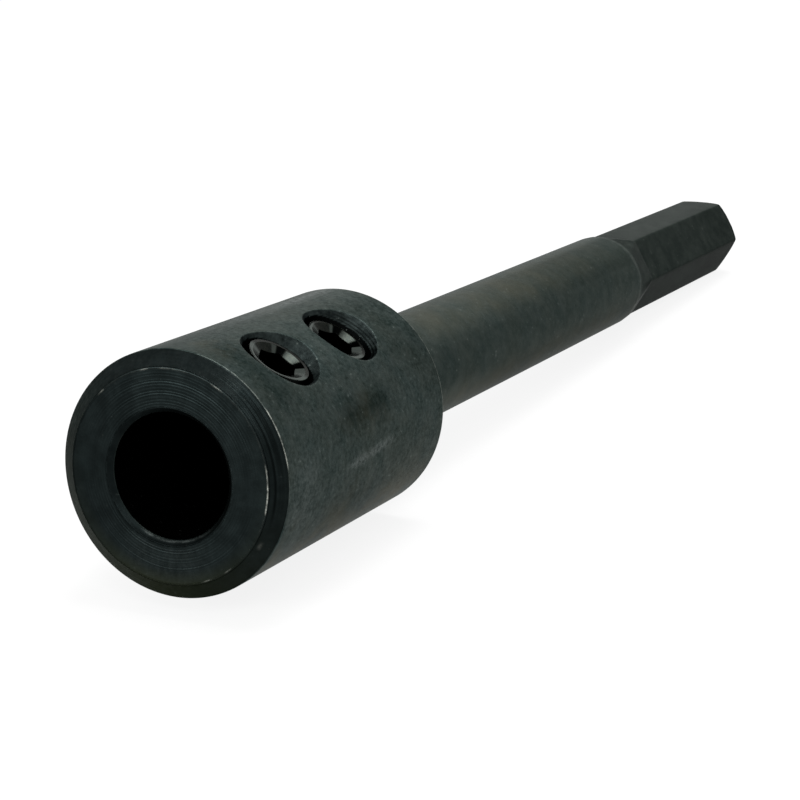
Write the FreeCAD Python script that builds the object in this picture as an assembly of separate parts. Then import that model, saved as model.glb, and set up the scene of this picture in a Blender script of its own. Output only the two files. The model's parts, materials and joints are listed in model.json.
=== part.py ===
"""Drill bit extension: a turned steel holder and the two set screws in its collar.

Lengths are in millimetres and angles in degrees. Every piece is made on a straight tool
axis, which runs along +X from the mouth of the bore, and is then tilted about the centre
of that mouth until the tool lies as it comes to rest: on the rear rim of its collar and
on the end of one flat of its hex drive, with the floor level.
"""
import FreeCAD, Part
import math
import os

# The collar, with the blind bore that takes a bit's shank
collar_diameter = 25.4
collar_length = 39.5
face_chamfer_width = 1.7
face_chamfer_depth = 1.25
rear_edge_break = 0.25
bore_diameter = 13.0
bore_depth = 35.0
bore_mouth_chamfer = 0.5
drill_point_angle = 118.0

# The round shank behind the collar
shank_diameter = 13.35
shank_length = 87.5
junction_radius = 0.8

# The hex drive, milled on the turned-down end of the shank
hex_across_flats = 11.11
hex_corner_diameter = 12.7
hex_length = 45.0
flat_runout_length = 7.0
corner_taper_length = 5.0
hex_end_chamfer = 0.61

# The screw holes, tapped through one side of the collar
thread_diameter = 7.94
running_clearance = 0.05
front_hole_from_face = 12.0
hole_spacing = 14.1
countersink_diameter = 10.26
countersink_angle = 90.0
screw_lean = 30.0

# The set screws: flat point, hex socket
screw_length = 4.76
screw_face_chamfer = 0.57
screw_point_chamfer = 1.2
front_screw_depth = 0.85
rear_screw_depth = 1.3
key_across_flats = 3.97
key_depth = 2.6
key_point_angle = 120.0
key_mouth_diameter = 6.0
key_mouth_angle = 130.0
front_key_turn = 25.0
rear_key_turn = 28.0

# How far a cutter reaches past the surface that it cuts
cutter_margin = 1.0

hex_sides = 6
full_turn = 360.0

collar_radius = collar_diameter / 2
bore_radius = bore_diameter / 2
shank_radius = shank_diameter / 2
hex_flat_distance = hex_across_flats / 2
hex_corner_radius = hex_corner_diameter / 2
runout_start = collar_length + shank_length
total_length = runout_start + flat_runout_length + hex_length
rear_hole_from_face = front_hole_from_face + hole_spacing
thread_radius = thread_diameter / 2
screw_hole_radius = thread_radius + running_clearance
countersink_radius = countersink_diameter / 2

# The tool rests on two levels of its outline, so its axis dips by this much to the rear
rim_position = collar_length - rear_edge_break
rest_dip = math.degrees(math.atan2(collar_radius - hex_flat_distance, total_length - rim_position))

ORIGIN = FreeCAD.Vector(0, 0, 0)
TOOL_AXIS = FreeCAD.Vector(1, 0, 0)
SIDEWAYS = FreeCAD.Vector(0, 1, 0)
UP = FreeCAD.Vector(0, 0, 1)


def cone_height(radius, included_angle):
    """Height of a cone from its rim of this radius down to its point."""
    return radius / math.tan(math.radians(included_angle / 2))


def outline_point(along, out):
    """Point of a turned outline: along the tool axis, and out from it."""
    return FreeCAD.Vector(along, 0, out)


def turned_holder():
    """Collar, bore, shank and drive blank, as one outline turned about the tool axis."""
    bore_end = bore_depth + cone_height(bore_radius, drill_point_angle)
    front = [
        outline_point(bore_end, 0),
        outline_point(bore_depth, bore_radius),
        outline_point(bore_mouth_chamfer, bore_radius),
        outline_point(0, bore_radius + bore_mouth_chamfer),
        outline_point(0, collar_radius - face_chamfer_width),
        outline_point(face_chamfer_depth, collar_radius),
        outline_point(rim_position, collar_radius),
        outline_point(collar_length, collar_radius - rear_edge_break),
        outline_point(collar_length, shank_radius + junction_radius),
    ]
    rear = [
        outline_point(collar_length + junction_radius, shank_radius),
        outline_point(runout_start, shank_radius),
        outline_point(runout_start + corner_taper_length, hex_corner_radius),
        outline_point(total_length - hex_end_chamfer, hex_corner_radius),
        outline_point(total_length, hex_corner_radius - hex_end_chamfer),
        outline_point(total_length, 0),
        outline_point(bore_end, 0),
    ]
    arc_share = 1 - math.sqrt(0.5)
    arc_middle = outline_point(
        collar_length + junction_radius * arc_share, shank_radius + junction_radius * arc_share
    )
    junction = Part.Arc(front[-1], arc_middle, rear[0]).toShape()
    outline = Part.Wire(Part.makePolygon(front).Edges + [junction] + Part.makePolygon(rear).Edges)
    return Part.Face(outline).revolve(ORIGIN, TOOL_AXIS, full_turn)


def flat_cutter():
    """What the mill takes off below one flat: the flat, and its ramp up to the shank."""
    clear_of_shank = shank_radius + cutter_margin
    clear_of_end = total_length + cutter_margin
    side = [
        outline_point(runout_start, -shank_radius),
        outline_point(runout_start + flat_runout_length, -hex_flat_distance),
        outline_point(clear_of_end, -hex_flat_distance),
        outline_point(clear_of_end, -clear_of_shank),
        outline_point(runout_start, -clear_of_shank),
        outline_point(runout_start, -shank_radius),
    ]
    cutter = Part.Face(Part.makePolygon(side)).extrude(SIDEWAYS * (2 * clear_of_shank))
    cutter.translate(SIDEWAYS * -clear_of_shank)
    return cutter


def screw_hole_cutter(from_face):
    """Hole and countersink for one set screw, upright over the tool axis."""
    foot = TOOL_AXIS * from_face
    hole = Part.makeCylinder(screw_hole_radius, collar_radius + cutter_margin, foot, UP)
    slope = math.tan(math.radians(countersink_angle / 2))
    sink_depth = (countersink_radius - screw_hole_radius) / slope
    sink = Part.makeCone(
        screw_hole_radius,
        countersink_radius + cutter_margin * slope,
        sink_depth + cutter_margin,
        foot + UP * (collar_radius - sink_depth),
        UP,
    )
    cutter = hole.fuse(sink)
    cutter.rotate(ORIGIN, TOOL_AXIS, screw_lean)
    return cutter


def extension_body():
    """The one-piece holder: turned, then milled to a hex, then drilled for its screws."""
    body = turned_holder()
    for side in range(hex_sides):
        cutter = flat_cutter()
        cutter.rotate(ORIGIN, TOOL_AXIS, side * full_turn / hex_sides)
        body = body.cut(cutter)
    for from_face in (front_hole_from_face, rear_hole_from_face):
        body = body.cut(screw_hole_cutter(from_face))
    return body


def key_socket(turn):
    """Hex socket sunk from z = 0, with its drilled bottom and its coned mouth."""
    flat_radius = key_across_flats / 2
    corner_radius = flat_radius / math.cos(math.pi / hex_sides)
    corners = []
    for step in range(hex_sides + 1):
        angle = math.radians(turn + step * full_turn / hex_sides)
        across, along = math.cos(angle), math.sin(angle)
        corners.append(FreeCAD.Vector(corner_radius * across, corner_radius * along, -key_depth))
    prism = Part.Face(Part.makePolygon(corners)).extrude(UP * (key_depth + cutter_margin))
    bottom_height = cone_height(flat_radius, key_point_angle)
    bottom = Part.makeCone(0, flat_radius, bottom_height, UP * (-key_depth - bottom_height), UP)
    mouth_radius = key_mouth_diameter / 2
    mouth_depth = cone_height(mouth_radius, key_mouth_angle)
    mouth = Part.makeCone(0, mouth_radius, mouth_depth, UP * -mouth_depth, UP)
    return prism.fuse([bottom, mouth])


def set_screw(from_face, depth, key_turn):
    """One set screw in its hole, its face at this depth below the collar's crest."""
    point_radius = thread_radius - screw_point_chamfer
    outline = [
        ORIGIN,
        FreeCAD.Vector(thread_radius - screw_face_chamfer, 0, 0),
        FreeCAD.Vector(thread_radius, 0, -screw_face_chamfer),
        FreeCAD.Vector(thread_radius, 0, screw_point_chamfer - screw_length),
        FreeCAD.Vector(point_radius, 0, -screw_length),
        FreeCAD.Vector(0, 0, -screw_length),
        ORIGIN,
    ]
    blank = Part.Face(Part.makePolygon(outline)).revolve(ORIGIN, UP, full_turn)
    screw = blank.cut(key_socket(key_turn))
    screw.translate(TOOL_AXIS * from_face + UP * (collar_radius - depth))
    screw.rotate(ORIGIN, TOOL_AXIS, screw_lean)
    return screw


pieces = {
    "extension_body": extension_body(),
    "front_set_screw": set_screw(front_hole_from_face, front_screw_depth, front_key_turn),
    "rear_set_screw": set_screw(rear_hole_from_face, rear_screw_depth, rear_key_turn),
}

os.makedirs("parts", exist_ok=True)
for name, piece in pieces.items():
    piece.rotate(ORIGIN, SIDEWAYS, rest_dip)
    piece.exportStep(f"parts/{name}.step")
    print(name, "solids", len(piece.Solids), "valid", piece.isValid(), "mm3", round(piece.Volume, 1))
print("dip", round(rest_dip, 4), "length", total_length)
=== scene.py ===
"""The looks of a drill bit extension: a turned and milled steel holder, blackened, and the
two socket set screws in its collar.

Every surface is worked out with numpy in the tool's own frame, in millimetres: x runs along
the tool axis from the bore's mouth, and an angle about that axis starts at the direction of
the upper hex flat and grows towards the side that the camera sees. Each screw hole has a
frame of its own: an angle about its axis, and a height along it from the tool axis.
"""
import json
import math

import bmesh
import bpy
import numpy as np
from mathutils import Matrix, Vector


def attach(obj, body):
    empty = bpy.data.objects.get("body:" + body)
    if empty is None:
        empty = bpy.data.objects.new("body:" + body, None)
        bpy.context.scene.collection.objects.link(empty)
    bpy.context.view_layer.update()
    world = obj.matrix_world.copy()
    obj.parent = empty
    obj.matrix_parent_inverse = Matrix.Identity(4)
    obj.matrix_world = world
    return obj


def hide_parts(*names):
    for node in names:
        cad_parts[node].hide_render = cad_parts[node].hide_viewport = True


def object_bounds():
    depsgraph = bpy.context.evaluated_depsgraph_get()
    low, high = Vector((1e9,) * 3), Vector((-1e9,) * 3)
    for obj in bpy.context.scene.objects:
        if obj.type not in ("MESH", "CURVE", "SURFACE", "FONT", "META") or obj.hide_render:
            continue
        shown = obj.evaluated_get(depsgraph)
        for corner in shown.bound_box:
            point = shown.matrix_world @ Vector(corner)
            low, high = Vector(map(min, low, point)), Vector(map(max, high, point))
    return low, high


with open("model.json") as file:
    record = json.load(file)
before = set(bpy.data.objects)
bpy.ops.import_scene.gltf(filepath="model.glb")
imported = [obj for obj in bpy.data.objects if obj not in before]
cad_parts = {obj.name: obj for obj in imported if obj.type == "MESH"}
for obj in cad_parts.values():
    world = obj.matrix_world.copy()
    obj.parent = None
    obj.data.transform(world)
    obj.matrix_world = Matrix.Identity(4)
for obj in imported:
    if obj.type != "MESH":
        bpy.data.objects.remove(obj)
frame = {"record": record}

cad_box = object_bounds()

MM = 0.001
TAU = 2 * math.pi
INCH = 25.4

# The collar and its bore
COLLAR_RADIUS = 12.7
COLLAR_LENGTH = 39.5
FACE_RADIUS = 11.0
FACE_CHAMFER_DEPTH = 1.25
FACE_SETBACK = 0.012
REAR_BREAK = 0.25
BORE_RADIUS = 6.5
MOUTH_CHAMFER = 0.5
BORE_DEPTH = 35.0
DRILL_POINT_HALF_ANGLE = math.radians(59)

# The shank and the hex drive
SHANK_RADIUS = 6.675
JUNCTION_RADIUS = 0.8
RUNOUT_START = 127.0
RUNOUT_LENGTH = 7.0
TAPER_LENGTH = 5.0
FLAT_DISTANCE = 5.555
CORNER_RADIUS = 6.35
TOTAL_LENGTH = 179.0
END_FACE_RADIUS = 5.5
END_CHAMFER_SLOPE = 1.2
END_EDGE_BREAK = 0.12
HEX_SIDES = 6

# The screw holes and the screws
LEAN = math.radians(30)
HOLE_PLACES = (12.0, 26.1)
COUNTERSINK_CREST = 5.13
HOLE_FOOT_RADIUS = 4.02
HOLE_THREAD_CREST = 3.43
THREAD_CLEARANCE = 0.075
THREAD_PITCH = INCH / 18
THREAD_RADIUS = 3.94
THREAD_PHASE = 0.1
SCREW_LENGTH = 4.76
SCREW_DEPTHS = (0.85, 1.3)
KEY_TURNS = (math.radians(25), math.radians(28))
KEY_FLAT_DISTANCE = 1.985
KEY_DEPTH = 2.6
KEY_MOUTH_RADIUS = 3.0
KEY_MOUTH_SLOPE = math.tan(math.radians(25))
KEY_FLOOR_SLOPE = math.tan(math.radians(30))
SCREW_FACE_RADIUS = 3.37
SCREW_POINT_RADIUS = 2.74

# The tool lies tilted in the row frame: the bore's mount says how
bore_axis = np.array(frame["record"]["mounts"][0]["axis"])
along = -bore_axis / np.linalg.norm(bore_axis)
sideways = np.array([0.0, 1.0, 0.0])
TOOL_TO_ROW = np.stack([along, sideways, np.cross(along, sideways)])
REST_DIP = math.asin(-along[2])


# Shapes of the surfaces

def cylinder_points(x, radius, angle):
    """(x, -r sin a, r cos a): points about the tool axis, stacked on the last axis."""
    x, radius, angle = np.broadcast_arrays(x, radius, angle)
    return np.stack([x, -radius * np.sin(angle), radius * np.cos(angle)], axis=-1)


def hole_points(place, radius, angle, height):
    """Points about a screw hole's axis: place e_x + r (cos a e_x + sin a b) + h n, where n leans
    30 degrees from the vertical about the tool axis and b is square to n and e_x."""
    radius, angle, height = np.broadcast_arrays(radius, angle, height)
    beside = radius * np.sin(angle)
    return np.stack([
        place + radius * np.cos(angle),
        beside * math.cos(LEAN) - height * math.sin(LEAN),
        beside * math.sin(LEAN) + height * math.cos(LEAN),
    ], axis=-1)


def thread_radius(angle, height):
    """Radius of a 60-degree thread: with t the distance from the crest in pitches, the crest
    flat reaches to t = 1/16, and the flank falls by 0.5413 pitch until t = 3/8."""
    turn = height / THREAD_PITCH - angle / TAU + THREAD_PHASE
    off_crest = np.abs(turn - np.floor(turn) - 0.5)
    return THREAD_RADIUS - np.clip((off_crest - 1 / 16) / (5 / 16), 0, 1) * 0.5413 * THREAD_PITCH


def smooth_least(a, b, width):
    """The lesser of a and b, rounded where they meet: (a + b - sqrt((a-b)^2 + w^2)) / 2."""
    return (a + b - np.sqrt((a - b) ** 2 + width ** 2)) / 2


def unit(vectors):
    """Each vector over its own length."""
    return vectors / np.maximum(np.linalg.norm(vectors, axis=-1, keepdims=True), 1e-9)


def ramp(value, start, end):
    """0 at the start, rising evenly to 1 at the end; an end below the start makes it fall."""
    return np.clip((value - start) / (end - start), 0, 1)


def near(value, centre, reach):
    """1 at the centre, falling to 0 at this reach from it."""
    return np.clip(1 - np.abs(value - centre) / reach, 0, 1)


def arc_share(degrees, start, end, soft=2.0):
    """1 between two angles, falling to 0 within the soft margin outside them."""
    middle, half = (start + end) / 2, (end - start) / 2
    off = np.abs((degrees - middle + 180) % 360 - 180)
    return np.clip(1 - (off - half) / soft, 0, 1)


def spaced(length, step, hold=0.1):
    """Shares of a span for rows about a step apart, with one row held close to each end."""
    inner = np.linspace(0, 1, max(2, round(length / step)) + 1)[1:-1]
    return np.concatenate([[hold / length], inner, [1 - hold / length]])


def profile_rows(corners, rounding, between):
    """Rows of a profile through corners P0 P1 ..., each (columns, 2). A rounded corner is the
    curve (1-t)^2 A + 2t(1-t) P + t^2 B, with A and B the rounding away from P on its two
    spans. Between two corners, rows lie at the given shares of the way."""
    rows = [corners[0]]
    for index, shares in enumerate(between):
        here, there = corners[index], corners[index + 1]
        rows += [here + share * (there - here) for share in shares]
        width = rounding[index + 1]
        if width:
            before = there + width * unit(here - there)
            after = there + width * unit(corners[index + 2] - there)
            for t in np.linspace(0, 1, 6):
                rows.append((1 - t) ** 2 * before + 2 * t * (1 - t) * there + t ** 2 * after)
        else:
            rows.append(there)
    return np.stack(rows)


# Meshes

class Pieces:
    """Gathers points and faces of several grids, which are merged where they meet."""

    def __init__(self):
        self.points = []
        self.faces = []
        self.count = 0

    def add_points(self, points):
        """Adds points and returns their numbers in the shape of the grid they came in."""
        shape = points.shape[:-1]
        self.points.append(points.reshape(-1, 3))
        numbers = np.arange(self.count, self.count + int(np.prod(shape))).reshape(shape)
        self.count += numbers.size
        return numbers

    def add_grid(self, points, closed=True, keep=None):
        """A grid of rows and columns of points, whose last column joins the first if closed."""
        numbers = self.add_points(points)
        if closed:
            numbers = np.concatenate([numbers, numbers[:, :1]], axis=1)
        quads = np.stack([
            numbers[:-1, :-1], numbers[1:, :-1], numbers[1:, 1:], numbers[:-1, 1:],
        ], axis=-1)
        self.faces += (quads[keep] if keep is not None else quads.reshape(-1, 4)).tolist()
        return numbers

    def add_pole(self, ring, point):
        """A fan from the last ring of a grid to one point."""
        centre = self.add_points(np.asarray(point, float)[None, :])[0]
        self.faces += np.stack([ring[:-1], ring[1:], np.full(len(ring) - 1, centre)], axis=-1).tolist()

    def add_halving(self, fine, coarse):
        """Three triangles for each coarse column, between a ring and one of half its columns."""
        left, middle, right = fine[:-1:2], fine[1::2], fine[2::2]
        start, end = coarse[:-1], coarse[1:]
        for corners in ((left, middle, start), (middle, end, start), (middle, right, end)):
            self.faces += np.stack(corners, axis=-1).tolist()

    def piece(self, name):
        """The merged, smooth, outward-facing mesh object, in metres in the row frame."""
        points = np.concatenate(self.points) @ TOOL_TO_ROW * MM
        mesh = bpy.data.meshes.new(name)
        mesh.from_pydata(points.tolist(), [], self.faces)
        shell = bmesh.new()
        shell.from_mesh(mesh)
        bmesh.ops.remove_doubles(shell, verts=shell.verts, dist=1e-7)
        bmesh.ops.recalc_face_normals(shell, faces=shell.faces)
        loose = [vert for vert in shell.verts if not vert.link_faces]
        bmesh.ops.delete(shell, geom=loose, context="VERTS")
        shell.to_mesh(mesh)
        shell.free()
        mesh.shade_smooth()
        obj = bpy.data.objects.new(name, mesh)
        bpy.context.collection.objects.link(obj)
        return obj


def tool_coordinates(mesh):
    """Each vertex's x, radius and angle about the tool axis, in millimetres and radians."""
    flat = np.empty(len(mesh.vertices) * 3, np.float32)
    mesh.vertices.foreach_get("co", flat)
    x, y, z = (flat.reshape(-1, 3).astype(float) / MM @ TOOL_TO_ROW.T).T
    return x, np.hypot(y, z), np.arctan2(-y, z)


def set_attribute(mesh, name, values):
    """A number for each vertex, which the materials read by this name."""
    layer = mesh.attributes.new(name, "FLOAT", "POINT")
    layer.data.foreach_set("value", np.asarray(values, np.float32))


# The holder

FLAT_COLUMNS = 24
CORNER_COLUMNS = 16
COLUMNS = HEX_SIDES * (FLAT_COLUMNS + CORNER_COLUMNS)
COLUMN_STEP = TAU / COLUMNS
EVEN_HALF_FLAT = math.radians(18)
NARROWEST_HALF_FLAT = math.radians(1.2)
CORNER_MARGIN = math.radians(0.6)
DRIVE_MARGIN = math.radians(2.5)
CREASE_ROUNDING = 0.035
DRIVE_ROUNDING = 0.12
RELAX_LENGTH = 6.0

WINDOW_EDGES = (4.95, 19.05, 33.15)
WINDOW_ROWS = 24
WINDOW_COLUMNS = 36


def column_angles(half_flat):
    """Angles of the columns: 24 share each flat from -f to f, and 16 each corner from f to
    60 degrees - f, with f the half width given for each row."""
    half = np.asarray(half_flat, float).reshape(-1, 1, 1)
    flat = half * np.linspace(-1, 1, FLAT_COLUMNS, endpoint=False)
    corner = half + (TAU / HEX_SIDES - 2 * half) * np.linspace(0, 1, CORNER_COLUMNS, endpoint=False)
    sectors = np.arange(HEX_SIDES)[None, :, None] * TAU / HEX_SIDES
    return (sectors + np.concatenate([flat, corner], axis=2)).reshape(len(half), -1)


def hex_rows(x):
    """Angles and radii of the shank's end and the drive: radius = least of flat distance over
    cos(angle from the flat) and the turned radius, both falling over the run-out. The edge
    where the two meet is rounder on the drive than on the run-out."""
    x = np.asarray(x, float)
    into_flat = ramp(x, RUNOUT_START, RUNOUT_START + RUNOUT_LENGTH)
    into_taper = ramp(x, RUNOUT_START, RUNOUT_START + TAPER_LENGTH)
    flat = SHANK_RADIUS + (FLAT_DISTANCE - SHANK_RADIUS) * into_flat
    turned = SHANK_RADIUS + (CORNER_RADIUS - SHANK_RADIUS) * into_taper
    crease = np.arccos(np.clip(flat / turned, -1, 1))
    margin = CORNER_MARGIN + (DRIVE_MARGIN - CORNER_MARGIN) * into_flat ** 2
    rounding = CREASE_ROUNDING + (DRIVE_ROUNDING - CREASE_ROUNDING) * into_flat ** 2
    half = np.maximum(crease - margin, NARROWEST_HALF_FLAT)
    relax = ramp(x, RUNOUT_START, RUNOUT_START - RELAX_LENGTH)
    half = half + (EVEN_HALF_FLAT - half) * relax * relax * (3 - 2 * relax)
    angle = column_angles(half)
    off_flat = (angle + TAU / 12) % (TAU / HEX_SIDES) - TAU / 12
    radius = smooth_least(flat[:, None] / np.cos(off_flat), turned[:, None], rounding[:, None])
    before = (x <= RUNOUT_START)[:, None]
    return angle, np.where(before, SHANK_RADIUS, np.minimum(radius, SHANK_RADIUS))


def facing_grooves(radius, angle):
    """Height of the fine spiral that the facing tool left, in mm: two close pitches beat, so
    that the grooves come and go across the face. They fade at the bore's mouth, and outside a
    circle that reaches 10.8 mm at the top and 9.7 mm at the bottom."""
    turns = angle / TAU
    fine = np.sin(TAU * (radius / 0.31 + turns))
    other = np.sin(TAU * (radius / 0.235 + turns) + 1.3)
    coarse = np.sin(TAU * (radius / 1.37 + turns) + 0.6)
    outermost = 10.25 + 0.55 * np.cos(angle)
    fade = np.clip(np.minimum((radius - 7.15) / 0.15, (outermost - radius) / 0.4), 0, 1)
    return fade * (0.0075 * fine + 0.005 * other * (1 + coarse) + 0.004 * coarse)


def chamfer_rings(radius, angle):
    """Height of the turned rings on the face chamfer, in mm, deepest at its upper right."""
    degrees = np.degrees(angle) % 360
    slow = 0.6 + 0.4 * np.sin(TAU * radius / 0.9 + 2 * angle)
    fade = np.minimum(radius - FACE_RADIUS - 0.1, COLLAR_RADIUS - 0.12 - radius) / 0.15
    height = 0.004 + 0.012 * arc_share(degrees, 35, 100, 30)
    return height * np.clip(fade, 0, 1) * slow * np.sin(TAU * radius / 0.36)


def window_loop(place, half_angle):
    """x and angle of a window's border: from its rear middle towards lesser angles, round."""
    half_length = (WINDOW_EDGES[1] - WINDOW_EDGES[0]) / 2
    side = WINDOW_COLUMNS // 2
    down = np.arange(side) / side
    across = np.arange(WINDOW_ROWS) / WINDOW_ROWS
    ends, edge = np.ones(side), np.ones(WINDOW_ROWS)
    x = np.concatenate([ends, 1 - 2 * across, -ends, -ends, 2 * across - 1, ends])
    turn = np.concatenate([-down, -edge, down - 1, down, edge, 1 - down])
    return place + half_length * x, LEAN + half_angle * turn


def surface_ring(place, radius, angle, shell):
    """x and angle about the tool axis, for a ring about a hole drawn on a shell's radius."""
    beside = radius * np.sin(angle)
    return place + radius * np.cos(angle), LEAN - np.arcsin(beside / shell)


def screw_hole(pieces, place):
    """Countersunk and tapped hole, from the collar's side down into the bore: its radius is the
    greatest of the thread, whose crests are cut back, the countersink and the flare at its
    foot. The countersink's edge is rounded by a curve (1-t)^2 A + 2t(1-t) P + t^2 B."""
    outer_x, outer_turn = window_loop(place, WINDOW_COLUMNS / 2 * COLUMN_STEP)
    inner_x, inner_turn = window_loop(place, WINDOW_COLUMNS * COLUMN_STEP)
    angle = np.arctan2(COLLAR_RADIUS * np.sin(LEAN - outer_turn), outer_x - place)

    # the countersink's edge on the collar, which each round brings nearer to its true radius
    edge = np.full(len(angle), COUNTERSINK_CREST)
    for _ in range(60):
        edge_height = np.sqrt(COLLAR_RADIUS ** 2 - (edge * np.sin(angle)) ** 2)
        edge = COUNTERSINK_CREST - COLLAR_RADIUS + edge_height
    edge_height = np.sqrt(COLLAR_RADIUS ** 2 - (edge * np.sin(angle)) ** 2)

    lip = 0.14
    ring_x, ring_turn = surface_ring(place, edge + lip, angle, COLLAR_RADIUS)
    share = np.array([0, 0.16, 0.32, 0.48, 0.64, 0.78, 0.9, 1.0])[:, None]
    around_x = outer_x + share * (ring_x - outer_x)
    around_turn = outer_turn + share * (ring_turn - outer_turn)
    pieces.add_grid(cylinder_points(around_x, COLLAR_RADIUS, around_turn))

    lip_height = np.sqrt(COLLAR_RADIUS ** 2 - ((edge + lip) * np.sin(angle)) ** 2)
    t = np.linspace(0, 1, 7)[:, None]
    start, middle, end = (1 - t) ** 2, 2 * t * (1 - t), t ** 2
    sink = lip * 0.8
    lip_radius = start * (edge + lip) + middle * edge + end * (edge - sink)
    heights = start * lip_height + middle * edge_height + end * (edge_height - sink)
    pieces.add_grid(hole_points(place, lip_radius, angle, heights))

    foot = np.sqrt(BORE_RADIUS ** 2 - (HOLE_FOOT_RADIUS * np.sin(angle)) ** 2)
    depth = np.concatenate([[0, 0.01], np.linspace(0.02, 1, 68)])[:, None]
    below_lip = edge_height - sink
    height = below_lip + depth * (foot - below_lip)
    cone = COUNTERSINK_CREST - (COLLAR_RADIUS - height)
    flare = HOLE_FOOT_RADIUS - (height - foot)
    thread = np.maximum(thread_radius(angle, height) + THREAD_CLEARANCE, HOLE_THREAD_CREST)
    wall = np.maximum(thread, np.maximum(cone, flare))
    pieces.add_grid(hole_points(place, wall, angle, height))

    foot_x, foot_turn = surface_ring(place, HOLE_FOOT_RADIUS, angle, BORE_RADIUS)
    share = np.linspace(0, 1, 7)[:, None]
    around_x = foot_x + share * (inner_x - foot_x)
    around_turn = foot_turn + share * (inner_turn - foot_turn)
    pieces.add_grid(cylinder_points(around_x, BORE_RADIUS, around_turn))


def window_rows():
    """x of the rows that cross the two windows, their borders included."""
    return np.linspace(WINDOW_EDGES[0], WINDOW_EDGES[-1], 2 * WINDOW_ROWS + 1)


def outside_windows(x, columns):
    """Which quads of a grid stay: all but those in the two windows' rows and columns, which
    are centred on the screws' lean. The grid's first column is at the edge of the top flat."""
    first = round((LEAN + EVEN_HALF_FLAT) * columns / TAU) - WINDOW_COLUMNS // 2
    within = (x > WINDOW_EDGES[0] - 0.01) & (x < WINDOW_EDGES[-1] + 0.01)
    inside_rows = within[:-1] & within[1:] & (x[1:] > x[:-1])
    inside_columns = (np.arange(columns) - first) % columns < WINDOW_COLUMNS
    return ~(inside_rows[:, None] & inside_columns[None, :])


def turned_part(pieces):
    """The outside from just within the bore's mouth to the foot of the fillet behind the
    collar. The grooved face is set back a little, so that its crests stay near the true face."""
    side_length = COLLAR_LENGTH - REAR_BREAK - FACE_CHAMFER_DEPTH
    side_x = np.concatenate([
        [1.5, 1.8, 2.3, 2.9, 3.6, 4.3], window_rows(), np.linspace(33.9, 38.4, 7), [38.9, 39.12],
    ])
    corners = np.array([
        (0.8, BORE_RADIUS),
        (MOUTH_CHAMFER, BORE_RADIUS),
        (0, BORE_RADIUS + MOUTH_CHAMFER),
        (0, FACE_RADIUS),
        (FACE_CHAMFER_DEPTH, COLLAR_RADIUS),
        (COLLAR_LENGTH - REAR_BREAK, COLLAR_RADIUS),
        (COLLAR_LENGTH, COLLAR_RADIUS - REAR_BREAK),
        (COLLAR_LENGTH, SHANK_RADIUS + JUNCTION_RADIUS),
    ])[:, None, :]
    face_width = FACE_RADIUS - BORE_RADIUS - MOUTH_CHAMFER
    rows = profile_rows(
        corners,
        [0, 0.08, 0.07, 0.11, 0.12, 0.06, 0.06, 0],
        [
            [0.6],
            spaced(0.7, 0.2, 0.12),
            spaced(face_width, 0.062, 0.1)[1:-1],
            spaced(2.1, 0.1, 0.16),
            (side_x - FACE_CHAMFER_DEPTH) / side_length,
            [0.5],
            spaced(COLLAR_RADIUS - REAR_BREAK - SHANK_RADIUS - JUNCTION_RADIUS, 0.8),
        ],
    )[:, 0]
    arc = np.linspace(0, math.pi / 2, 10)[1:]
    centre = COLLAR_LENGTH + JUNCTION_RADIUS
    junction = np.stack([
        centre - JUNCTION_RADIUS * np.cos(arc), SHANK_RADIUS + JUNCTION_RADIUS * (1 - np.sin(arc)),
    ], axis=-1)
    x, radius = np.concatenate([rows, junction]).T
    angle = column_angles([EVEN_HALF_FLAT])[0]
    on_face = (x < 0.001)[:, None]
    on_chamfer = ((x > 0.1) & (x < 1.2))[:, None]
    depth = np.where(on_face, facing_grooves(radius[:, None], angle), 0)
    depth = np.where(on_chamfer, chamfer_rings(radius[:, None], angle), depth)
    depth = depth + FACE_SETBACK * on_face
    points = cylinder_points(x[:, None] + depth, radius[:, None], angle)
    return pieces.add_grid(points, keep=outside_windows(x, COLUMNS))


def drive_part(pieces):
    """The shank and the hex drive, whose end chamfer is turned: it cuts a corner at
    x = length - slope (radius - end face radius), and only breaks the edge of the flats."""
    shank_x = np.concatenate([[40.3, 40.8, 42], np.linspace(45, 121, 20)])
    relax_x = np.linspace(121, RUNOUT_START, 9)[1:]
    runout_x = RUNOUT_START + RUNOUT_LENGTH * np.linspace(0, 1, 30)[1:] ** 1.7
    hex_x = np.concatenate([[134.12, 134.4, 135], np.linspace(138, 174, 10), [176.5]])
    x = np.concatenate([shank_x, relax_x, runout_x, hex_x])
    angle, radius = hex_rows(x)
    points = cylinder_points(x[:, None], radius, angle)

    last_angle, last_radius = angle[-1], radius[-1]
    cut = np.maximum(last_radius - END_FACE_RADIUS, END_EDGE_BREAK)
    corners = [
        np.stack([np.full(COLUMNS, x[-1]), last_radius], axis=-1),
        np.stack([TOTAL_LENGTH - END_CHAMFER_SLOPE * cut, last_radius], axis=-1),
        np.stack([np.full(COLUMNS, TOTAL_LENGTH), last_radius - cut], axis=-1),
        np.stack([np.full(COLUMNS, TOTAL_LENGTH), last_radius * 0.08], axis=-1),
    ]
    between = [[0.4, 0.7, 0.88], [0.5], [0.03, 0.1, 0.3, 0.6]]
    rows = profile_rows(corners, [0, 0.08, 0.08, 0], between)
    end = cylinder_points(rows[1:, :, 0], rows[1:, :, 1], last_angle)
    numbers = pieces.add_grid(np.concatenate([points, end]))
    pieces.add_pole(numbers[-1], (TOTAL_LENGTH, 0, 0))


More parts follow.
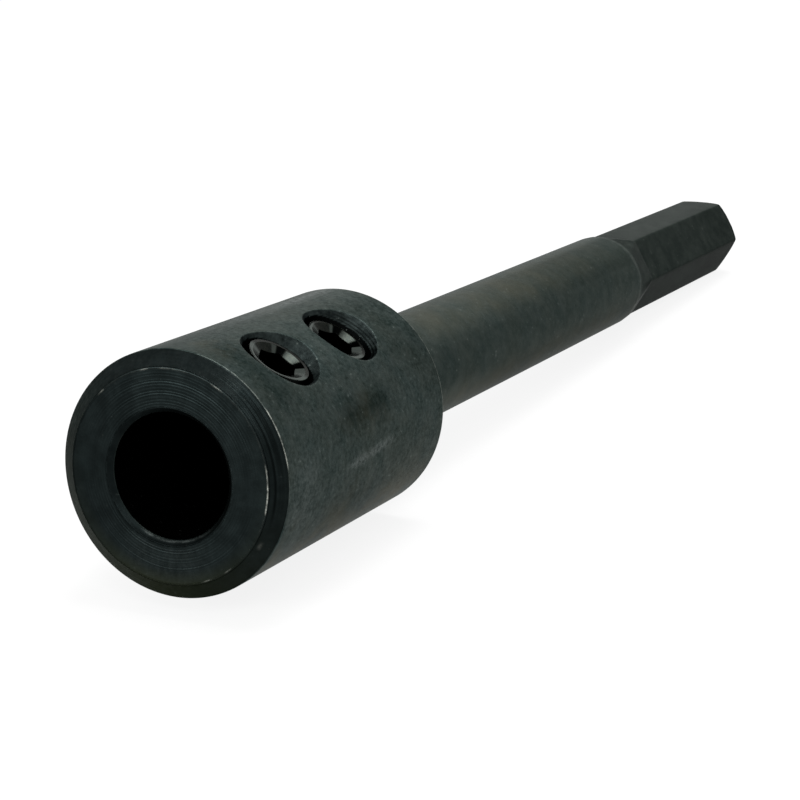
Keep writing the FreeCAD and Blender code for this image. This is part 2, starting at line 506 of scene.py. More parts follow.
def bore_part(pieces, mouth_ring):
    """The bore's wall and its drill-point bottom, joined to the finer ring at the mouth."""
    point_length = BORE_RADIUS / math.tan(DRILL_POINT_HALF_ANGLE)
    wall_x = np.concatenate([[1.3, 2.5, 3.8], window_rows(), [34.0, BORE_DEPTH]])
    cone = np.array([0.03, 0.3, 0.6, 0.85, 0.96])
    x = np.concatenate([wall_x, BORE_DEPTH + point_length * cone])
    radius = np.concatenate([np.full(len(wall_x), BORE_RADIUS), BORE_RADIUS * (1 - cone)])
    columns = COLUMNS // 2
    angle = -EVEN_HALF_FLAT + 2 * COLUMN_STEP * np.arange(columns)
    points = cylinder_points(x[:, None], radius[:, None], angle)
    numbers = pieces.add_grid(points, keep=outside_windows(x, columns))
    pieces.add_pole(numbers[-1], (BORE_DEPTH + point_length, 0, 0))
    pieces.add_halving(mouth_ring, numbers[0])


def edge_wear_and_highlight(x, radius, degrees):
    """How much of the steel shows: narrow broken arcs of wear along the face chamfer's two edges,
    fainter ones on the collar's rear edge that are a painted highlight, and a nick on the chamfer."""
    outer = near(np.hypot(x - FACE_CHAMFER_DEPTH, radius - COLLAR_RADIUS), 0, 0.08)
    inner = near(np.hypot(x, radius - FACE_RADIUS + 0.08), 0, 0.08)
    rear = near(np.hypot(x - COLLAR_LENGTH + REAR_BREAK, radius - COLLAR_RADIUS), 0, 0.12)
    outer_share = np.maximum(1.8 * arc_share(degrees, 54, 78, 3), 0.4 * arc_share(degrees, 30, 47, 4))
    outer_share = np.maximum(outer_share, 0.15 * arc_share(degrees, 15, 100, 8))
    inner_share = 0.03 * arc_share(degrees, 330, 470, 25)
    for start, end, share in (
        (315, 316, 0.4), (344, 345.5, 0.4), (355, 370, 0.12), (26, 31, 0.35),
        (78, 88, 0.6), (88, 101, 1.3), (142, 143, 0.4), (156, 158.5, 0.3),
    ):
        inner_share = np.maximum(inner_share, share * arc_share(degrees, start, end))
    nick = arc_share(degrees, 119, 121, 1.5) * near(radius, 11.5, 0.25) * (x < FACE_CHAMFER_DEPTH)
    edges = np.maximum(outer * outer_share, inner * inner_share)
    # painted highlight along the collar's rear edge
    return np.maximum(np.maximum(edges, 0.7 * rear * arc_share(degrees, 345, 480, 20)), 0.1 * nick)


def collar_tone(x, radius, degrees):
    """Tone of the collar's side: a scuffed streak, a paler band along the top, a paler patch low
    behind the face, a dark smudge, darker bands behind the face's top and before the rear edge,
    and painted shade along the underside."""
    streak = 0.7 * near(degrees, 93.5 - 0.32 * (x - 15), 3.2) * ramp(x, 14, 17) * ramp(x, 27, 23)
    smudge = near(degrees, 70.5, 11) * ramp(x, 13, 16) * ramp(x, 27, 24)
    front = near(x, 5, 5)
    paler = streak + 0.6 * ramp(x, 10, 30) * near(degrees, 352, 9)
    paler += 0.2 * front * arc_share(degrees, 84, 106, 12)
    darker = 0.75 * smudge + 0.6 * front * arc_share(degrees, 15, 48, 14)
    darker += 0.35 * ramp(x, 27, 33) * arc_share(degrees, 18, 50, 14)
    # painted shade along the underside
    darker += 0.25 * near(x, 17, 12) * arc_share(degrees, 112, 145, 10)
    darker += 0.25 * ramp(x, 33, 37) * arc_share(degrees, 61, 73, 8)
    return (radius > COLLAR_RADIUS - 0.01) * (paler - darker)


def face_tone(x, radius, degrees):
    """Tone of the face, its chamfer and the bore's mouth: turned lines on the chamfer's right, with
    their reflections painted in as pale and dark bands; painted light on the chamfer's top and
    painted shade low on it; painted highlights low on the face and painted shade on its left;
    painted shade on the chamfer's inner edge on the left; and a painted highlight low in the
    mouth, with painted shade beside it and on the mouth's left."""
    chamfer = (x < FACE_CHAMFER_DEPTH - 0.02) & (radius > FACE_RADIUS + 0.05)
    # painted light on the chamfer's top, painted shade low on it
    low, top = arc_share(degrees, 80, 165, 40), arc_share(degrees, 290, 390, 25)
    way_out = (radius - FACE_RADIUS) / (COLLAR_RADIUS - FACE_RADIUS)
    # pale and dark bands of the turned lines: their reflections, painted
    dark = near(way_out, 0.33, 0.09) * arc_share(degrees, 52, 98, 12)
    dark = np.maximum(dark, 0.9 * near(way_out, 0.62, 0.2) * arc_share(degrees, 50, 74, 12))
    pale = near(way_out, 0.17, 0.08) * arc_share(degrees, 55, 96, 12)
    pale = np.maximum(pale, near(way_out, 0.46, 0.07) * arc_share(degrees, 62, 98, 10))
    chamfer = chamfer * (0.05 * top - 0.5 * low - 1.3 * dark + 0.4 * pale)

    # painted highlights low on the face, painted shade on its left
    face = (x < 0.2) & (radius > 7.1) & (radius < FACE_RADIUS - 0.1)
    face = face * (0.05 * arc_share(degrees, 165, 200, 20) - 0.35 * arc_share(degrees, 240, 315, 25))
    # painted shade over the chamfer's inner edge on the left
    rim = 0.9 * near(np.hypot(x, radius - FACE_RADIUS + 0.05), 0, 0.14) * arc_share(degrees, 170, 310, 15)
    # painted highlight low in the mouth, painted shade beside it and on the mouth's left
    lit, unlit = arc_share(degrees, 150, 205, 20), arc_share(degrees, 225, 320, 25)
    mouth = lit * (0.9 * near(radius, 6.64, 0.1) - 1.6 * near(radius, 7.0, 0.2)) - 0.8 * unlit
    return chamfer + face - rim + (x < 0.6) * (radius < 7.2) * mouth


def shank_tone(x, radius, degrees):
    """Tone of the shank and the drive: painted shade along their undersides, and darker along the
    shank's middle and towards the drive, at the top of the run-out and near the drive's end."""
    behind = (x > COLLAR_LENGTH + 0.1) & (radius < SHANK_RADIUS + 0.9)
    # painted shade along the shank's underside
    under = 0.4 * ramp(x, 60, 75) * arc_share(degrees, 108, 200, 12)
    upper = 0.4 * ramp(x, 70, 105) * arc_share(degrees, 8, 56, 10)
    upper = np.maximum(upper, 0.25 * arc_share(degrees, 62, 95, 12))
    # painted shade on the drive's lower flats
    drive = 0.6 * ramp(x, 128, 131) * arc_share(degrees, 92, 200, 4)
    drive += 0.5 * near(x, 130, 6) * arc_share(degrees, 330, 385, 8)
    drive += 0.15 * ramp(x, 156, 170) * arc_share(degrees, 12, 130, 8)
    return behind * np.where(x < RUNOUT_START, -under - upper, -drive)


def rear_hole_shade_rings(x, radius, angle):
    """Painted shade: dark rings on the rear hole's far wall, where its thread's grooves show dark."""
    beside = radius * np.sin(LEAN - angle)
    above = radius * np.cos(LEAN - angle) > 0
    from_axis = np.hypot(x - HOLE_PLACES[1], beside)
    turn = np.degrees(np.arctan2(beside, x - HOLE_PLACES[1]))
    rings = np.zeros_like(x)
    for ring, share in ((4.2, 1.0), (4.46, 1.0), (4.72, 0.5)):
        rings = np.maximum(rings, share * near(from_axis, ring, 0.11))
    return rings * above * (radius < COLLAR_RADIUS - 0.05) * arc_share(turn, -95, 30, 30)


def browning(x, radius, degrees):
    """Where the oxide shows brown: before the front screw, at the smudge and along the shank's
    top, where it is scant; and low on the collar, low on the face chamfer and along the shank's
    lower side, where the brown is painted warm light from below."""
    # browner low on the collar: painted warm light from below
    low = np.exp(-((degrees - 135) / 20) ** 2) * (x > 2)
    before = np.exp(-((x - 6) / 3) ** 2 - ((degrees - 12) / 12) ** 2)
    chamfer = 0.9 * (x < 1.2) * ramp(radius, 9.6, 10.9) * np.exp(-((degrees - 185) / 50) ** 2)
    smudge = 0.5 * near(degrees, 72.5, 12) * near(x, 20, 9)
    beyond = (radius < 7) * (x > COLLAR_LENGTH + 1)
    shank = 0.5 * np.exp(-((x - 82) / 36) ** 4 - (((degrees + 180) % 360 - 200) / 28) ** 4)
    # browner along the shank's lower side: painted warm light from below
    shank = np.maximum(shank, 0.5 * np.exp(-((degrees - 118) / 16) ** 2))
    side = np.maximum(np.maximum(low, before), smudge) * (radius > 12.6)
    return np.maximum(np.maximum(side, chamfer), shank * beyond)


def make_holder():
    """The holder as one closed mesh, with its wear and finish masks and its masks of painted light
    and shade.
    """
    pieces = Pieces()
    turned = turned_part(pieces)
    drive_part(pieces)
    bore_part(pieces, turned[0])
    for place in HOLE_PLACES:
        screw_hole(pieces, place)
    holder = pieces.piece("blackened_steel_holder")

    x, radius, angle = tool_coordinates(holder.data)
    degrees = np.degrees(angle) % 360
    worn_and_highlit = edge_wear_and_highlight(x, radius, degrees)
    sunk = np.zeros_like(x)
    in_thread = np.zeros_like(x, bool)
    for place in HOLE_PLACES:
        from_axis = np.hypot(x - place, radius * np.sin(LEAN - angle))
        above = radius * np.cos(LEAN - angle) > 0
        inside = above * (radius > 6.4) * (from_axis < COUNTERSINK_CREST + 0.15)
        sunk = np.maximum(sunk, inside * ramp(radius, COLLAR_RADIUS - 0.01, COLLAR_RADIUS - 0.05))
        in_thread |= inside & (from_axis < THREAD_RADIUS + THREAD_CLEARANCE + 0.005)
        worn_and_highlit = np.maximum(worn_and_highlit, 0.01 * inside * near(radius, COLLAR_RADIUS - 0.03, 0.03))
    in_bore = (radius < BORE_RADIUS + 0.05) & (x > MOUTH_CHAMFER + 0.1) & (x < COLLAR_LENGTH)
    chamfer = (x < FACE_CHAMFER_DEPTH) & (radius > FACE_RADIUS + 0.05)
    deep_rings = 0.08 + 0.92 * arc_share(degrees, 40, 100, 20)
    set_attribute(holder.data, "sunk", sunk)
    # painted shade deep in the bore, round the screws' threads and in rings on the rear hole's wall
    painted_deep_shade = np.maximum(in_bore | in_thread, rear_hole_shade_rings(x, radius, angle))
    set_attribute(holder.data, "painted_deep_shade", painted_deep_shade)
    set_attribute(holder.data, "ringed", chamfer * deep_rings)
    set_attribute(holder.data, "faced", (x < 1.2) & (radius > 6.55) & (radius < 12.65))
    set_attribute(holder.data, "milled", ramp(x, RUNOUT_START + 0.3, RUNOUT_START + 0.8))
    # steel showing at the edges, and a painted highlight on the collar's rear edge
    set_attribute(holder.data, "bare_and_highlit", worn_and_highlit)
    # tone: paler and darker marks, some real and some painted light and shade
    tone = collar_tone(x, radius, degrees) + face_tone(x, radius, degrees) + shank_tone(x, radius, degrees)
    set_attribute(holder.data, "tone", tone)
    # brown, which low down is painted warm light from below
    set_attribute(holder.data, "browned", browning(x, radius, degrees))
    set_attribute(holder.data, "drawn", (radius < 7) & (x > COLLAR_LENGTH + 0.5))
    return holder


# The set screws

SCREW_COLUMNS = 144


def make_set_screw(name, place, depth, key_turn):
    """One set screw: socket with a drilled bottom, coned mouth, face, and an outside whose
    radius is the least of the thread, the face's chamfer and the point's chamfer."""
    angle = key_turn + np.arange(SCREW_COLUMNS) * TAU / SCREW_COLUMNS
    top = COLLAR_RADIUS - depth
    off_flat = (angle - key_turn) % (TAU / HEX_SIDES) - TAU / 12
    key = KEY_FLAT_DISTANCE / np.cos(off_flat)
    mouth = top - (KEY_MOUTH_RADIUS - key) * KEY_MOUTH_SLOPE
    socket_floor = top - KEY_DEPTH
    drilled = KEY_FLAT_DISTANCE * KEY_FLOOR_SLOPE

    rows = []
    for share in (0.06, 0.3, 0.6, 0.85, 1.0):
        rows.append((KEY_FLAT_DISTANCE * share, socket_floor - drilled * (1 - share)))
    rows.append((KEY_FLAT_DISTANCE + (key - KEY_FLAT_DISTANCE) * 0.5, socket_floor))
    for share in (0, 0.04, 0.3, 0.6, 0.9, 0.97, 1.0):
        rows.append((key, socket_floor + share * (mouth - socket_floor)))
    for share in (0.06, 0.4, 0.75, 0.92, 1.0):
        reach = key + share * (KEY_MOUTH_RADIUS - key)
        rows.append((reach, mouth + share * (top - mouth)))
    for radius in (3.03, 3.08, 3.15, 3.25, 3.33, 3.37):
        rows.append((radius, top))
    for fall in np.linspace(0, SCREW_LENGTH, 70):
        height = top - fall
        chamfer = SCREW_FACE_RADIUS + 0.03 + fall
        point = SCREW_POINT_RADIUS + SCREW_LENGTH - fall
        rows.append((np.minimum(thread_radius(angle, height), np.minimum(chamfer, point)), height))
    for radius in (2.72, 2.4, 1.5, 0.3):
        rows.append((radius, top - SCREW_LENGTH))
    radii = np.stack([np.broadcast_to(radius, angle.shape) for radius, _ in rows])
    heights = np.stack([np.broadcast_to(height, angle.shape) for _, height in rows])

    pieces = Pieces()
    numbers = pieces.add_grid(hole_points(place, radii, angle, heights))
    pieces.add_pole(numbers[0], hole_points(place, 0.0, 0.0, socket_floor - drilled))
    pieces.add_pole(numbers[-1], hole_points(place, 0.0, 0.0, top - SCREW_LENGTH))
    screw = pieces.piece(name)

    # paler arcs of the face and socket's mouth, partly painted light; painted shade in the mouth's corners
    # and depths
    x, radius, tool_angle = tool_coordinates(screw.data)
    beside = radius * np.sin(LEAN - tool_angle)
    height = radius * np.cos(LEAN - tool_angle)
    from_axis = np.hypot(x - place, beside)
    turn = np.arctan2(beside, x - place)
    off_corner = np.abs((np.degrees(turn - key_turn) + 30) % 60 - 30)
    degrees = np.degrees(turn) % 360
    on_mouth = (height > mouth.min() - 0.01) & (from_axis < KEY_MOUTH_RADIUS + 0.01)
    # painted shade in the corners of the socket's mouth
    painted_corner_shade = on_mouth * ramp(off_corner, 12, 9) * arc_share(degrees, -55, 50, 5)
    ring = (height > top - 0.01) & (from_axis > KEY_MOUTH_RADIUS)
    # painted shade deep in the socket and on all below the screw's face, down in the gap round it
    painted_shade = (from_axis > SCREW_FACE_RADIUS + 0.04) | ~(on_mouth | ring)
    on_ring = 0.4 * arc_share(degrees, 105, 275, 15)
    # painted light on the facets of the socket's mouth
    on_cone = 0.25 * arc_share(degrees, 28, 46, 3) + 0.1 * arc_share(degrees, -40, 15)
    on_cone += 0.4 * arc_share(degrees, 255, 322)
    on_cone = np.maximum(on_cone, 0.42 * arc_share(degrees, 105, 170, 10))
    rubbed_and_lit = np.where(ring, on_ring, on_cone) * (1 - painted_corner_shade)
    set_attribute(screw.data, "rubbed_and_lit", np.where(painted_shade, 0, rubbed_and_lit))
    set_attribute(screw.data, "painted_shade", np.where(painted_shade, 0.85, painted_corner_shade))
    return screw


# Materials

def linear(colour):
    """A hex colour as linear red, green and blue: ((c + 0.055) / 1.055)^2.4, or c / 12.92."""
    values = [int(colour[index:index + 2], 16) / 255 for index in (1, 3, 5)]
    return [c / 12.92 if c <= 0.04045 else ((c + 0.055) / 1.055) ** 2.4 for c in values] + [1.0]


def new_material(name):
    """A material with only its output node."""
    material = bpy.data.materials.new(name)
    material.use_nodes = True
    material.node_tree.nodes.clear()
    return material


def add_node(tree, kind, inputs=None, **settings):
    """A node with its settings; an input is a value, or a socket to link from."""
    node = tree.nodes.new(kind)
    for key, value in settings.items():
        setattr(node, key, value)
    for key, value in (inputs or {}).items():
        if isinstance(value, bpy.types.NodeSocket):
            tree.links.new(value, node.inputs[key])
        else:
            node.inputs[key].default_value = value
    return node


def tool_place(tree):
    """Object coordinates turned level with the tool axis, in millimetres."""
    place = add_node(tree, "ShaderNodeTexCoord").outputs["Object"]
    return add_node(tree, "ShaderNodeMapping", {
        "Vector": place, "Rotation": (0, -REST_DIP, 0), "Scale": (1000, 1000, 1000),
    }).outputs[0]


def holder_steel():
    """Hot black oxide on ground and turned mild steel: a dull blue-black skin, paler where it is
    scuffed, browner where it is scant, and down to the steel along the sharp edges; painted light
    and shade, warm light from below among them, are mixed into its colour and sheen."""
    material = new_material("black_oxide_on_turned_mild_steel")
    tree = material.node_tree
    place = tool_place(tree)
    mask = {}
    for name in ("faced", "ringed", "milled", "sunk", "painted_deep_shade", "bare_and_highlit", "tone", "browned", "drawn"):
        mask[name] = add_node(tree, "ShaderNodeAttribute", attribute_name=name).outputs["Fac"]

    # crystals of the oxide, in life too fine to show and drawn half a millimetre across, with
    # clouds of 2 mm and patches of 7 mm; the grain is fainter on the shank's drawn skin
    grain = add_node(tree, "ShaderNodeTexNoise", {
        "Vector": place, "Scale": 1.9, "Detail": 5.0, "Roughness": 0.7,
    }).outputs[0]
    cloud = add_node(tree, "ShaderNodeTexNoise", {
        "Vector": place, "Scale": 0.5, "Detail": 5.0, "Roughness": 0.62,
    }).outputs[0]
    patch = add_node(tree, "ShaderNodeTexNoise", {
        "Vector": place, "Scale": 0.14, "Detail": 4.0, "Roughness": 0.6,
    }).outputs[0]
    speck = add_node(tree, "ShaderNodeTexNoise", {
        "Vector": place, "Scale": 1.9, "Detail": 2.0, "Roughness": 0.5,
    }).outputs[0]

    spread = add_node(tree, "ShaderNodeMapRange", {
        "Value": mask["drawn"], "To Min": 0.18, "To Max": 0.5,
    }).outputs[0]
    darkest = add_node(tree, "ShaderNodeMath", {0: 0.5, 1: spread}, operation="SUBTRACT").outputs[0]
    palest = add_node(tree, "ShaderNodeMath", {0: 0.5, 1: spread}, operation="ADD").outputs[0]
    grain_share = add_node(tree, "ShaderNodeMapRange", {
        "Value": grain, "From Min": darkest, "From Max": palest,
    }).outputs[0]
    cloud_share = add_node(tree, "ShaderNodeMapRange", {
        "Value": cloud, "From Min": 0.4, "From Max": 0.66,
    }).outputs[0]
    patch_floor = add_node(tree, "ShaderNodeMapRange", {
        "Value": mask["drawn"], "To Min": 0.42, "To Max": 0.25,
    }).outputs[0]
    patch_share = add_node(tree, "ShaderNodeMapRange", {
        "Value": patch, "From Min": patch_floor, "From Max": 0.66,
    }).outputs[0]
    speck_share = add_node(tree, "ShaderNodeMapRange", {
        "Value": speck, "From Min": 0.69, "From Max": 0.77, "To Max": 0.4,
    }).outputs[0]
    faced_speck = add_node(tree, "ShaderNodeMapRange", {
        "Value": mask["faced"], "To Min": 1.0, "To Max": 0.12,
    }).outputs[0]
    speck_share = add_node(tree, "ShaderNodeMath", {
        0: speck_share, 1: faced_speck,
    }, operation="MULTIPLY").outputs[0]

    # the ground side: blue-black, with greener clouds, and brown: scant oxide, and low down painted warm
    # light from below
    skin = add_node(tree, "ShaderNodeMix", {
        "Factor": grain_share, 6: linear("#1a2423"), 7: linear("#343f3e"),
    }, data_type="RGBA").outputs[2]
    paler = add_node(tree, "ShaderNodeMath", {0: cloud_share, 1: 0.42}, operation="MULTIPLY").outputs[0]
    skin = add_node(tree, "ShaderNodeMix", {
        "Factor": paler, 6: skin, 7: linear("#434a48"),
    }, data_type="RGBA").outputs[2]
    brown = add_node(tree, "ShaderNodeMath", {0: mask["browned"], 1: 0.15}, operation="ADD").outputs[0]
    brown = add_node(tree, "ShaderNodeMath", {0: brown, 1: patch_share}, operation="MULTIPLY").outputs[0]
    brown = add_node(tree, "ShaderNodeMath", {0: brown, 1: 0.75}, operation="MULTIPLY").outputs[0]
    skin = add_node(tree, "ShaderNodeMix", {
        "Factor": brown, 6: skin, 7: linear("#484538"),
    }, data_type="RGBA").outputs[2]

    # the turned face gets a darker skin, partly painted shade, the milled drive a thicker, darker skin, and
    # the sunk walls a darker, blotchier one
    face = add_node(tree, "ShaderNodeMix", {
        "Factor": cloud_share, 6: linear("#131818"), 7: linear("#1a2020"),
    }, data_type="RGBA").outputs[2]
    # brown low on the face chamfer: painted warm light from below
    face_brown_share = add_node(tree, "ShaderNodeMath", {0: mask["browned"], 1: 0.8}, operation="MULTIPLY").outputs[0]
    face = add_node(tree, "ShaderNodeMix", {
        "Factor": face_brown_share, 6: face, 7: linear("#23261b"),
    }, data_type="RGBA").outputs[2]
    skin = add_node(tree, "ShaderNodeMix", {
        "Factor": mask["faced"], 6: skin, 7: face,
    }, data_type="RGBA").outputs[2]
    drive = add_node(tree, "ShaderNodeMix", {
        "Factor": cloud_share, 6: linear("#232827"), 7: linear("#2f3432"),
    }, data_type="RGBA").outputs[2]
    skin = add_node(tree, "ShaderNodeMix", {
        "Factor": mask["milled"], 6: skin, 7: drive,
    }, data_type="RGBA").outputs[2]
    blotch = add_node(tree, "ShaderNodeMath", {0: cloud_share, 1: grain_share}, operation="ADD").outputs[0]
    blotch = add_node(tree, "ShaderNodeMath", {0: blotch, 1: 0.5}, operation="MULTIPLY").outputs[0]
    wall = add_node(tree, "ShaderNodeMix", {
        "Factor": blotch, 6: linear("#0c1010"), 7: linear("#2f3635"),
    }, data_type="RGBA").outputs[2]
    skin = add_node(tree, "ShaderNodeMix", {
        "Factor": mask["sunk"], 6: skin, 7: wall,
    }, data_type="RGBA").outputs[2]

    # scuffed places and painted light are paler, broken up by the grain; smudges, darker bands and painted
    # shade are darker
    broken = add_node(tree, "ShaderNodeMapRange", {
        "Value": grain, "From Min": 0.4, "From Max": 0.6, "To Min": 0.2,
    }).outputs[0]
    rubbed_and_lit = add_node(tree, "ShaderNodeMapRange", {
        "Value": mask["tone"], "To Max": 0.9,
    }).outputs[0]
    rubbed_and_lit = add_node(tree, "ShaderNodeMath", {0: rubbed_and_lit, 1: broken}, operation="MULTIPLY").outputs[0]
    skin = add_node(tree, "ShaderNodeMix", {
        "Factor": rubbed_and_lit, 6: skin, 7: linear("#5b6260"),
    }, data_type="RGBA").outputs[2]
    # darker for negative tone: the smudge and darker bands, and painted shade low on the collar, chamfer
    # and drive, on the face's left, by the mouth and on the chamfer's inner edge
    smudged_and_shaded = add_node(tree, "ShaderNodeMapRange", {
        "Value": mask["tone"], "From Max": -2.0,
    }).outputs[0]
    skin = add_node(tree, "ShaderNodeMix", {
        "Factor": smudged_and_shaded, 6: skin, 7: linear("#060808"),
    }, data_type="RGBA").outputs[2]

    # painted shade: black deep in the bore, round the screws' threads and in the rear hole's rings
    skin = add_node(tree, "ShaderNodeMix", {
        "Factor": mask["painted_deep_shade"], 6: skin, 7: linear("#050606"),
    }, data_type="RGBA").outputs[2]

    # pale specks, the steel showing at the edges, and the painted highlight on the collar's rear edge
    skin = add_node(tree, "ShaderNodeMix", {
        "Factor": speck_share, 6: skin, 7: linear("#6a706c"),
    }, data_type="RGBA").outputs[2]
    worn_and_highlit = add_node(tree, "ShaderNodeMath", {0: mask["bare_and_highlit"], 1: broken}, operation="MULTIPLY").outputs[0]
    skin = add_node(tree, "ShaderNodeMix", {
        "Factor": worn_and_highlit, 6: skin, 7: linear("#b6b9b0"),
    }, data_type="RGBA").outputs[2]

    # the turning tool's rings on the face chamfer, and the crystals' own relief
    rings = add_node(tree, "ShaderNodeTexWave", {
        "Vector": place, "Scale": 1.05, "Distortion": 0.6, "Detail": 2.0, "Detail Scale": 0.25,
    }, wave_type="RINGS", rings_direction="X").outputs["Fac"]
    rings = add_node(tree, "ShaderNodeMath", {0: rings, 1: mask["ringed"]}, operation="MULTIPLY").outputs[0]
    turned = add_node(tree, "ShaderNodeBump", {"Height": rings, "Strength": 1.0, "Distance": 0.00004})
    relief = add_node(tree, "ShaderNodeBump", {
        "Height": grain, "Strength": 0.5, "Distance": 0.00003, "Normal": turned.outputs["Normal"],
    })

    # the thicker the skin, the less of the steel's sheen it lets through at a low angle; painted light lets
    # more through, painted shade less, and none deep in the bore and threads
    edge_tint = add_node(tree, "ShaderNodeMix", {
        "Factor": grain_share, 6: (0.51, 0.515, 0.505, 1), 7: (0.595, 0.605, 0.585, 1),
    }, data_type="RGBA").outputs[2]
    edge_tint = add_node(tree, "ShaderNodeMix", {
        "Factor": mask["milled"], 6: edge_tint, 7: (0.458, 0.468, 0.458, 1),
    }, data_type="RGBA").outputs[2]
    edge_tint = add_node(tree, "ShaderNodeMix", {
        "Factor": rubbed_and_lit, 6: edge_tint, 7: (0.95, 0.95, 0.95, 1),
    }, data_type="RGBA").outputs[2]
    edge_tint = add_node(tree, "ShaderNodeMix", {
        "Factor": mask["sunk"], 6: edge_tint, 7: (0.47, 0.47, 0.47, 1),
    }, data_type="RGBA").outputs[2]
    edge_tint = add_node(tree, "ShaderNodeMix", {
        "Factor": smudged_and_shaded, 6: edge_tint, 7: (0.25, 0.25, 0.25, 1),
    }, data_type="RGBA").outputs[2]
    edge_tint = add_node(tree, "ShaderNodeMix", {
        "Factor": mask["painted_deep_shade"], 6: edge_tint, 7: (0, 0, 0, 1),
    }, data_type="RGBA").outputs[2]
    rough = add_node(tree, "ShaderNodeMapRange", {
        "Value": mask["faced"], "To Min": 0.46, "To Max": 0.36,
    }).outputs[0]
    surface = add_node(tree, "ShaderNodeBsdfPrincipled", {
        "Base Color": skin, "Metallic": 1.0, "Roughness": rough, "Specular Tint": edge_tint,
        "Normal": relief.outputs["Normal"],
    })
    add_node(tree, "ShaderNodeOutputMaterial", {"Surface": surface.outputs["BSDF"]})
    return material


def screw_steel():
    """Black oxide on cold-formed alloy steel: smoother and glossier than the holder's skin, paler
    where a key has turned in the socket's mouth, with painted light on the mouth's facets, and
    painted shade in the socket's depths and corners and below its face."""
    material = new_material("black_oxide_on_alloy_screw_steel")
    tree = material.node_tree
    place = tool_place(tree)
    rubbed_and_lit = add_node(tree, "ShaderNodeAttribute", attribute_name="rubbed_and_lit").outputs["Fac"]
    painted_shade = add_node(tree, "ShaderNodeAttribute", attribute_name="painted_shade").outputs["Fac"]
    grain = add_node(tree, "ShaderNodeTexNoise", {
        "Vector": place, "Scale": 4.0, "Detail": 3.0, "Roughness": 0.6,
    }).outputs[0]
    grain_share = add_node(tree, "ShaderNodeMapRange", {
        "Value": grain, "From Min": 0.35, "From Max": 0.65,
    }).outputs[0]
    skin = add_node(tree, "ShaderNodeMix", {
        "Factor": grain_share, 6: linear("#131615"), 7: linear("#20221e"),
    }, data_type="RGBA").outputs[2]
    skin = add_node(tree, "ShaderNodeMix", {
        "Factor": rubbed_and_lit, 6: skin, 7: linear("#5c6460"),
    }, data_type="RGBA").outputs[2]
    # painted shade, black and without sheen, in the socket's depths and corners and below the face
    skin = add_node(tree, "ShaderNodeMix", {
        "Factor": painted_shade, 6: skin, 7: linear("#060707"),
    }, data_type="RGBA").outputs[2]
    edge_tint = add_node(tree, "ShaderNodeMix", {
        "Factor": painted_shade, 6: (0.6, 0.6, 0.6, 1), 7: (0.0, 0.0, 0.0, 1),
    }, data_type="RGBA").outputs[2]
    surface = add_node(tree, "ShaderNodeBsdfPrincipled", {
        "Base Color": skin, "Metallic": 1.0, "Roughness": 0.24, "Specular Tint": edge_tint,
    })
    add_node(tree, "ShaderNodeOutputMaterial", {"Surface": surface.outputs["BSDF"]})
    return material


# The studio

def seen_rays(tree):
    """1 for rays from the camera and for those that metal or glass sends on, else 0."""
    ray = add_node(tree, "ShaderNodeLightPath")
    seen = ray.outputs["Is Camera Ray"]
    for kind in ("Is Glossy Ray", "Is Transmission Ray"):
        seen = add_node(tree, "ShaderNodeMath", {
            0: seen, 1: ray.outputs[kind],
        }, operation="MAXIMUM").outputs[0]
    return seen


def white_floor():
    """Matt white sweep: the camera, and what reflects it, see it as white with a soft shadow."""
    material = new_material("matt_white_sweep")
    tree = material.node_tree
    share = add_node(tree, "ShaderNodeMath", {0: seen_rays(tree), 1: 0.86}, operation="MULTIPLY").outputs[0]
    matt = add_node(tree, "ShaderNodeBsdfDiffuse", {"Color": linear("#f4f4f4")})
    white = add_node(tree, "ShaderNodeEmission", {"Color": (1, 1, 1, 1), "Strength": 1.0})
    mix = add_node(tree, "ShaderNodeMixShader", {
        0: share, 1: matt.outputs[0], 2: white.outputs[0],
    })
    add_node(tree, "ShaderNodeOutputMaterial", {"Surface": mix.outputs[0]})
    return material


def make_floor(height):
    """A plain square floor under the tool."""
    reach = 2.5
    mesh = bpy.data.meshes.new("floor")
    corners = [(x * reach, y * reach, height) for x, y in ((-1, -1), (1, -1), (1, 1), (-1, 1))]
    mesh.from_pydata(corners, [], [(0, 1, 2, 3)])
    floor = bpy.data.objects.new("floor", mesh)
    bpy.context.collection.objects.link(floor)
    mesh.materials.append(white_floor())


def make_world():
    """Pale studio air: white to the camera and to reflections, and soft light to the rest."""
    world = bpy.data.worlds.new("studio")
    bpy.context.scene.world = world
    world.use_nodes = True
    tree = world.node_tree
    tree.nodes.clear()
    air = add_node(tree, "ShaderNodeBackground", {"Color": (1, 1, 1, 1), "Strength": 0.7})
    white = add_node(tree, "ShaderNodeBackground", {"Color": (1, 1, 1, 1), "Strength": 1.0})
    mix = add_node(tree, "ShaderNodeMixShader", {
        0: seen_rays(tree), 1: air.outputs[0], 2: white.outputs[0],
    })
    add_node(tree, "ShaderNodeOutputWorld", {"Surface": mix.outputs[0]})


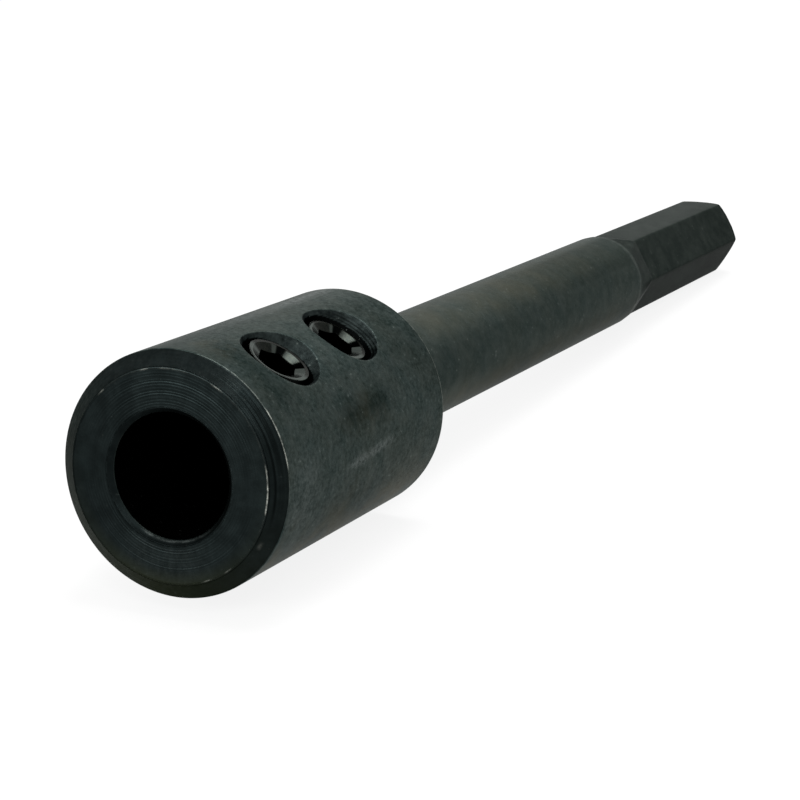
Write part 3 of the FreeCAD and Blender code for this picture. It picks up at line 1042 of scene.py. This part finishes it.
def make_softbox(name, centre, target, size, power):
    """A rectangular lamp at a place in metres, facing another, and unseen by the camera."""
    lamp = bpy.data.lights.new(name, "AREA")
    lamp.shape = "RECTANGLE"
    lamp.size, lamp.size_y = size
    lamp.energy = power
    obj = bpy.data.objects.new(name, lamp)
    bpy.context.collection.objects.link(obj)
    obj.rotation_euler = (Vector(centre) - Vector(target)).to_track_quat("Z", "Y").to_euler()
    obj.location = centre
    obj.visible_camera = False


def make_camera():
    """The photograph's view: low over the bore's mouth, looking along the tool."""
    camera = bpy.data.cameras.new("camera")
    camera.sensor_width = 36.0
    camera.lens = 105.87
    camera.clip_start = 0.01
    azimuth, elevation, roll = math.radians(-66.019), math.radians(15.652), math.radians(0.18)
    turn = (
        Matrix.Rotation(azimuth, 4, "Z")
        @ Matrix.Rotation(math.pi / 2 - elevation, 4, "X")
        @ Matrix.Rotation(roll, 4, "Z")
    )
    obj = bpy.data.objects.new("camera", camera)
    bpy.context.collection.objects.link(obj)
    obj.matrix_world = Matrix.Translation((-0.1926, -0.11056, 0.06987)) @ turn
    bpy.context.scene.camera = obj


holder = make_holder()
holder.data.materials.append(holder_steel())
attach(holder, "holder")
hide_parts("extension_body")

screw_skin = screw_steel()
for name, place, depth, key_turn in zip(("front", "rear"), HOLE_PLACES, SCREW_DEPTHS, KEY_TURNS):
    screw = make_set_screw(f"{name}_socket_set_screw", place, depth, key_turn)
    screw.data.materials.append(screw_skin)
    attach(screw, f"{name}_screw")
    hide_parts(f"{name}_set_screw")

make_floor(cad_box[0][2])
make_world()
make_softbox("overhead_softbox", (0.15, -0.1, 0.8), (0.05, 0, 0), (0.4, 0.4), 5.0)
make_softbox("rear_softbox", (0.9, 0.12, 0.35), (0.05, 0, 0), (0.7, 0.35), 0.7)
make_softbox("front_softbox", (-0.8, 0.35, 0.28), (0, 0, 0), (0.5, 0.3), 5.5)
make_softbox("near_softbox", (-0.65, -0.4, 0.6), (0, 0, 0), (0.3, 0.3), 2.5)
make_camera()
bpy.context.scene.view_settings.view_transform = "Standard"
